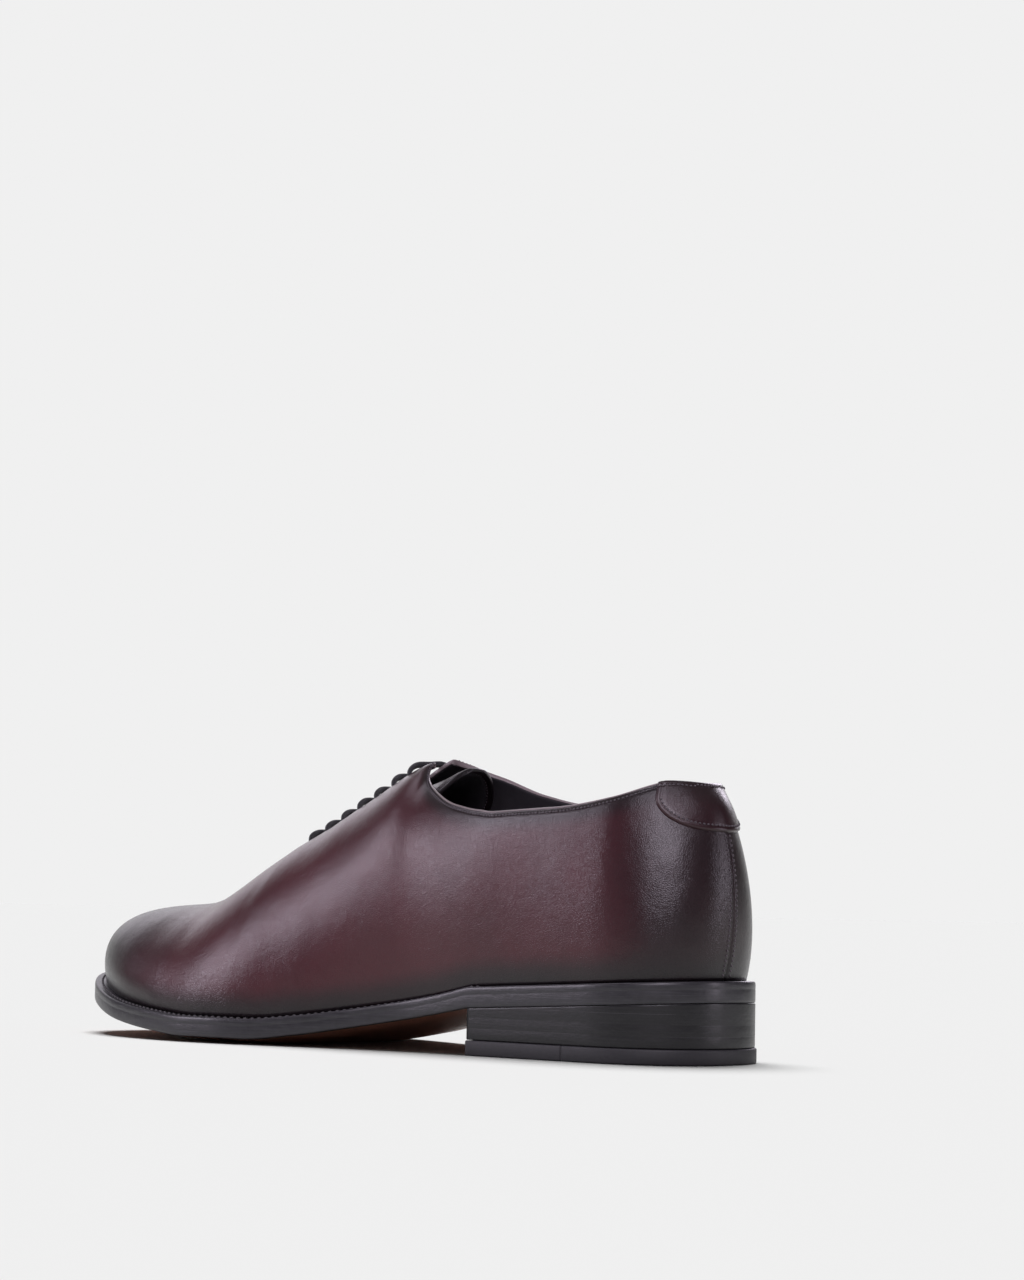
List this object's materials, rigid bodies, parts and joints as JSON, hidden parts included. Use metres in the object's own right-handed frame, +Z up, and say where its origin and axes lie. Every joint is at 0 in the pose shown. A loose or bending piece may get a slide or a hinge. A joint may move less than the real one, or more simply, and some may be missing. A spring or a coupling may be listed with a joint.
{
  "type": "whole cut oxford shoe",
  "caption": "Men's whole cut oxford dress shoe for the left foot in burnished oxblood calf, laced closed over a tongue, on a welted leather sole with a stacked heel.",
  "frame": {"origin": "on the floor under the middle of the shoe's outline", "axes": "+Z up, toe to -Y, heel to +Y, outer side of the left foot to +X"},
  "size_m": [0.107, 0.3076, 0.1047],
  "materials": {
    "calf": "burnished, darker at toe, heel and collar, soft gloss",
    "waxed_edge": "blacked and waxed",
    "sole_leather": "smooth, edge blacked",
    "heel_rubber": "matt",
    "lining_leather": "matt",
    "waxed_cord": "waxed, woven round"
  },
  "bodies": {
    "root": {"outsole": "sole_leather", "welt": "waxed_edge", "heel_rand": "waxed_edge", "heel_wedge": "waxed_edge", "heel_lift_2": "waxed_edge", "heel_lift_1": "waxed_edge", "heel_top_piece": "waxed_edge", "heel_rubber_tip": "heel_rubber", "upper": "calf", "heel_patch": "calf", "insole": "lining_leather", "tongue": "calf", "laces": "waxed_cord"}
  },
  "joints": []
}
